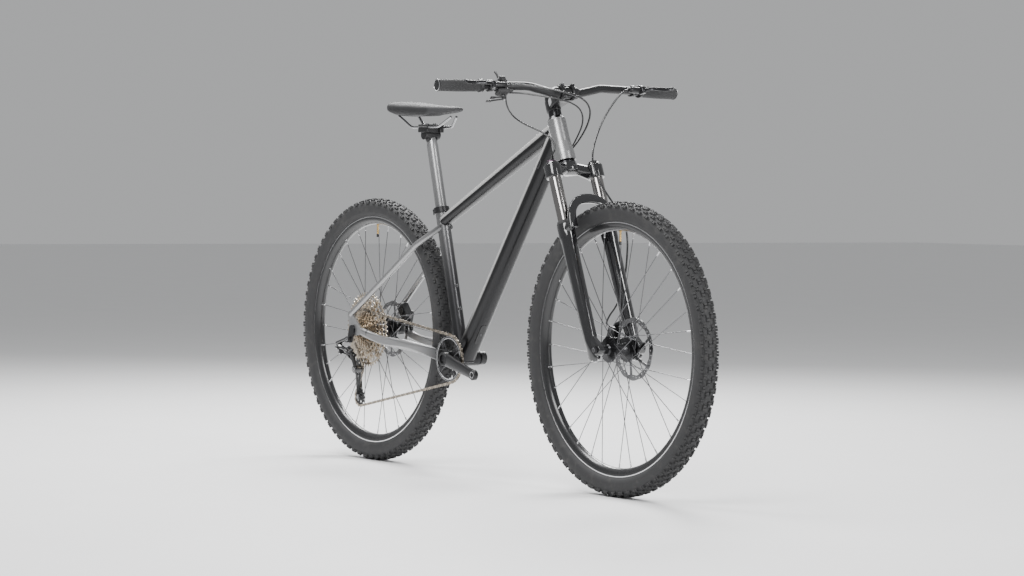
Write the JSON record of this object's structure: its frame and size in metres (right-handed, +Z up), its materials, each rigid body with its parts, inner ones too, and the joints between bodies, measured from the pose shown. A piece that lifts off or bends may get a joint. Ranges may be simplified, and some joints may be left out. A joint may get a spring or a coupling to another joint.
{
  "type": "mountain bike",
  "caption": "Hardtail mountain bicycle with a suspension fork, disc brakes, wide handlebar, knobbly tyres and a single-ring chain drive with rear derailleur.",
  "frame": {"origin": "on the ground at the middle of the wheelbase, in the centre plane of the bicycle", "axes": "+X forwards, +Y to the rider's left, +Z up"},
  "size_m": [1.87, 0.7578, 1.0687],
  "materials": {
    "frame_paint": "satin metallic graphite, fading to black",
    "black_alloy": "black anodised, satin",
    "lever_alloy": "dark anodised, polished edges",
    "fork_gloss": "gloss black enamel",
    "stanchion_chrome": "dark hard chrome, mirror",
    "tyre_rubber": "matt rubber",
    "soft_rubber": "matt soft rubber",
    "spoke_steel": "black spokes, bright nipples",
    "rotor_steel": "brushed",
    "cog_steel": "warm nickel plate",
    "ring_steel": "black with bright tooth tips",
    "control_plastic": "moulded, satin",
    "hose_black": "smooth jacket",
    "saddle_cover": "fine-grain synthetic cover",
    "rail_steel": "satin steel"
  },
  "bodies": {
    "frame": {"head_tube": "frame_paint", "top_tube": "frame_paint", "down_tube": "frame_paint", "seat_tube": "frame_paint", "bottom_bracket_shell": "frame_paint", "frame_bearings": "black_alloy", "chainstays": "frame_paint", "seatstays": "frame_paint", "dropouts": "frame_paint", "derailleur_hanger": "black_alloy", "rear_thru_axle": "black_alloy", "seat_clamp": "frame_paint", "frame_fittings": "control_plastic", "rear_brake_caliper": "black_alloy", "derailleur_upper_knuckle": "black_alloy", "rear_brake_hose": "hose_black", "shift_cable": "hose_black", "chain": "cog_steel"},
    "steering": {"fork_crown": "fork_gloss", "stanchions": "stanchion_chrome", "fork_caps": "fork_gloss", "handlebar": "black_alloy", "stem": "black_alloy", "stem_faceplate": "black_alloy", "headset_spacers": "black_alloy", "grips": "soft_rubber", "brake_lever_bodies": "black_alloy", "bar_controls": "control_plastic", "lockout_cable": "hose_black", "front_brake_hose": "hose_black"},
    "fork_slider": {"fork_lowers": "fork_gloss", "front_thru_axle": "black_alloy", "front_brake_caliper": "black_alloy"},
    "front_wheel": {"front_tyre": "tyre_rubber", "front_rim": "black_alloy", "front_spokes": "spoke_steel", "front_hub": "black_alloy", "front_rotor": "rotor_steel"},
    "rear_wheel": {"rear_tyre": "tyre_rubber", "rear_rim": "black_alloy", "rear_spokes": "spoke_steel", "rear_hub": "black_alloy", "rear_rotor": "rotor_steel"},
    "cassette": {"cassette": "cog_steel"},
    "crankset": {"crank_arms": "black_alloy", "chainring": "ring_steel"},
    "outer_link": {"derailleur_outer_link": "black_alloy"},
    "inner_link": {"derailleur_inner_link": "black_alloy"},
    "lower_knuckle": {"derailleur_lower_knuckle": "black_alloy"},
    "pulley_cage": {"derailleur_cage": "black_alloy"},
    "guide_wheel": {"guide_pulley": "control_plastic"},
    "tension_wheel": {"tension_pulley": "control_plastic"},
    "post": {"seatpost": "frame_paint"},
    "seat": {"saddle": "saddle_cover", "saddle_rails": "rail_steel"},
    "right_lever": {"right_brake_lever": "lever_alloy"},
    "left_lever": {"left_brake_lever": "lever_alloy"},
    "upshift": {"upshift_lever": "control_plastic"},
    "downshift": {"downshift_lever": "control_plastic"},
    "lockout": {"lockout_lever": "control_plastic"}
  },
  "joints": [
    {"name": "steering_turn", "type": "hinge", "parent": "frame", "child": "steering", "pos_m": [0.28837, 0, 0.94675], "axis": [-0.3665, 0, 0.9304], "range_deg": [-60, 60], "deforming": ["rear_brake_hose", "shift_cable"]},
    {"name": "fork_travel", "type": "slide", "parent": "steering", "child": "fork_slider", "axis": [-0.3665, 0, 0.9304], "range_m": [0, 0.1], "stiffness_N_per_m": 7000, "springref_m": -0.02, "deforming": ["front_brake_hose"]},
    {"name": "front_wheel_spin", "type": "hinge", "parent": "fork_slider", "child": "front_wheel", "pos_m": [0.565, 0, 0.37], "axis": [0, 1, 0], "continuous": true},
    {"name": "rear_wheel_spin", "type": "hinge", "parent": "frame", "child": "rear_wheel", "pos_m": [-0.565, 0, 0.37], "axis": [0, 1, 0], "continuous": true},
    {"name": "crank_turn", "type": "hinge", "parent": "frame", "child": "crankset", "pos_m": [-0.12911, 0, 0.31], "axis": [0, 1, 0], "continuous": true, "deforming": ["chain"]},
    {"name": "cassette_spin", "type": "hinge", "parent": "frame", "child": "cassette", "pos_m": [-0.565, 0, 0.37], "axis": [0, 1, 0], "continuous": true},
    {"name": "derailleur_shift", "type": "hinge", "parent": "frame", "child": "outer_link", "pos_m": [-0.612, -0.097, 0.322], "axis": [0, 0.7507, 0.6606], "range_deg": [-45, 33], "deforming": ["chain"]},
    {"name": "inner_link_turn", "type": "hinge", "parent": "frame", "child": "inner_link", "pos_m": [-0.616, -0.084, 0.307], "axis": [0, 0.7507, 0.6606], "range_deg": [-45, 33]},
    {"name": "lower_knuckle_turn", "type": "hinge", "parent": "outer_link", "child": "lower_knuckle", "pos_m": [-0.572, -0.093, 0.314], "axis": [0, 0.7507, 0.6606], "range_deg": [-33, 45]},
    {"name": "cage_swing", "type": "hinge", "parent": "lower_knuckle", "child": "pulley_cage", "pos_m": [-0.566, -0.0465, 0.258], "axis": [0, -1, 0], "range_deg": [-37, 27]},
    {"name": "guide_pulley_spin", "type": "hinge", "parent": "pulley_cage", "child": "guide_wheel", "pos_m": [-0.588, -0.0465, 0.262], "axis": [0, 1, 0], "continuous": true},
    {"name": "tension_pulley_spin", "type": "hinge", "parent": "pulley_cage", "child": "tension_wheel", "pos_m": [-0.577, -0.0465, 0.178], "axis": [0, 1, 0], "continuous": true},
    {"name": "seatpost_height", "type": "slide", "parent": "frame", "child": "post", "axis": [-0.2672, 0, 0.9636], "range_m": [-0.1, 0.03]},
    {"name": "saddle_tilt", "type": "hinge", "parent": "post", "child": "seat", "pos_m": [-0.29717, 0, 0.916], "axis": [0, 1, 0], "range_deg": [-10, 10]},
    {"name": "right_brake_squeeze", "type": "hinge", "parent": "steering", "child": "right_lever", "pos_m": [0.34496, -0.23717, 1.02957], "axis": [0.3664, -0.019, -0.9302], "range_deg": [0, 16], "stiffness_Nm_per_rad": 1, "springref_deg": -11.46},
    {"name": "left_brake_squeeze", "type": "hinge", "parent": "steering", "child": "left_lever", "pos_m": [0.34496, 0.23717, 1.02957], "axis": [0.3664, 0.019, -0.9302], "range_deg": [0, 16], "stiffness_Nm_per_rad": 1, "springref_deg": -11.46},
    {"name": "upshift_push", "type": "hinge", "parent": "steering", "child": "upshift", "pos_m": [0.34261, -0.20427, 1.00002], "axis": [0.3664, -0.019, -0.9302], "range_deg": [0, 14], "stiffness_Nm_per_rad": 0.2, "springref_deg": -11.46},
    {"name": "downshift_push", "type": "hinge", "parent": "steering", "child": "downshift", "pos_m": [0.34481, -0.20438, 0.99444], "axis": [-0.3664, 0.019, 0.9302], "range_deg": [0, 30], "stiffness_Nm_per_rad": 0.2, "springref_deg": -11.46},
    {"name": "lockout_push", "type": "hinge", "parent": "steering", "child": "lockout", "pos_m": [0.3094, -0.19681, 1.04484], "axis": [-0.0915, -0.9957, -0.0157], "range_deg": [-25, 0], "stiffness_Nm_per_rad": 0.2, "springref_deg": 11.46}
  ],
  "couplings": [
    {"joint": "cassette_spin", "follows": "crank_turn", "ratio": 1.1429},
    {"joint": "guide_pulley_spin", "follows": "crank_turn", "ratio": -2.6667},
    {"joint": "tension_pulley_spin", "follows": "crank_turn", "ratio": 2.6667},
    {"joint": "inner_link_turn", "follows": "derailleur_shift", "ratio": 1},
    {"joint": "lower_knuckle_turn", "follows": "derailleur_shift", "ratio": -1},
    {"joint": "cage_swing", "follows": "derailleur_shift", "ratio": 0.8}
  ]
}
